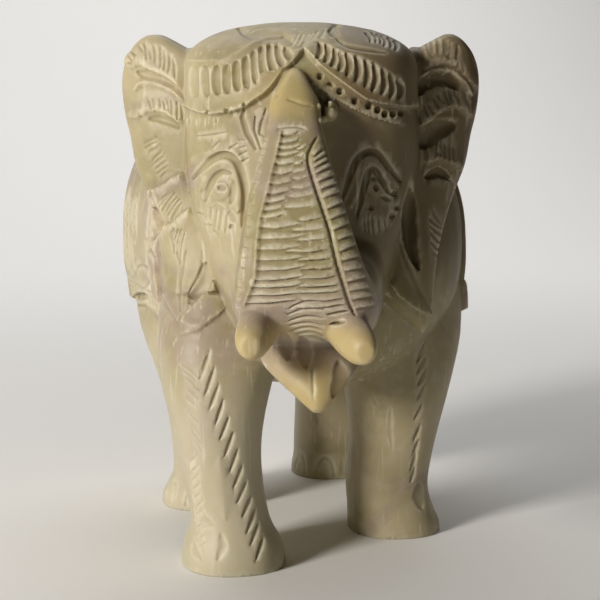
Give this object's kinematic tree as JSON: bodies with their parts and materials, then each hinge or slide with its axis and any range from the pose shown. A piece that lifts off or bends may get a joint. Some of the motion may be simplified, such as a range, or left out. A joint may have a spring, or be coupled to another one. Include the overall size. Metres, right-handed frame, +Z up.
{
  "type": "stone elephant carving",
  "caption": "Hand-carved solid soapstone elephant standing on its feet, trunk curled up to its forehead, with fan ears, cap, leg and saddle cloth carving.",
  "frame": {"origin": "on the surface it stands on, under the middle of the whole carving's box", "axes": "+Z up; +Y from the raised trunk to the rump, so the elephant faces -Y; +X to the right of someone facing the elephant"},
  "size_m": [0.0728, 0.1236, 0.1],
  "materials": {
    "soapstone": "polished pale olive soapstone with cloudy pink-grey patches and dull carved cuts"
  },
  "bodies": {
    "root": {"elephant": "soapstone"}
  },
  "joints": []
}
